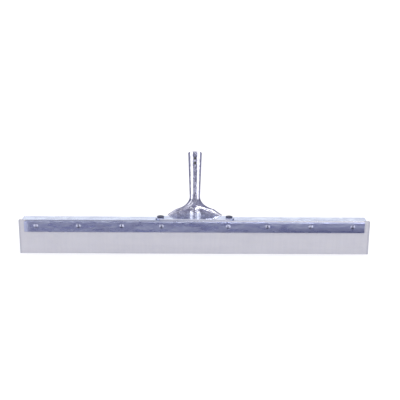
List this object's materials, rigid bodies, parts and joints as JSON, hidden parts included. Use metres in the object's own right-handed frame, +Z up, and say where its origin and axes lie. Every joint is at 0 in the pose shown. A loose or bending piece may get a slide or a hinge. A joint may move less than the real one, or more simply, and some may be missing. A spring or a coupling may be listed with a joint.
{
  "type": "floor squeegee head",
  "caption": "Straight floor squeegee head: rubber blade clamped between a steel strip and a steel angle, with a leaning tapered socket for a handle.",
  "frame": {"origin": "middle of the blade's working edge, where it meets the floor", "axes": "+X along the blade, -Y the side of the flat clamp strip, +Y the side the socket leans to, +Z up from the working edge"},
  "size_m": [0.9144, 0.1427, 0.252],
  "materials": {
    "rubber": "matte",
    "zinc_steel": "bright zinc",
    "socket_steel": "bright pressed steel",
    "rivet_steel": "bright",
    "dark_steel": "satin black oxide"
  },
  "bodies": {
    "root": {"rubber_blade": "rubber", "clamp_strip": "zinc_steel", "frame_angle": "zinc_steel", "socket_foot": "zinc_steel", "socket_skirt": "socket_steel", "handle_ferrule": "socket_steel", "strip_rivet_1": "rivet_steel", "strip_rivet_2": "rivet_steel", "strip_rivet_3": "rivet_steel", "strip_rivet_4": "rivet_steel", "strip_rivet_5": "rivet_steel", "strip_rivet_6": "rivet_steel", "strip_rivet_7": "rivet_steel", "strip_rivet_8": "rivet_steel", "bracket_bolt_1": "dark_steel", "bracket_bolt_2": "dark_steel", "lock_washer_1": "zinc_steel", "lock_washer_2": "zinc_steel", "bracket_nut_1": "zinc_steel", "bracket_nut_2": "zinc_steel"}
  },
  "joints": []
}
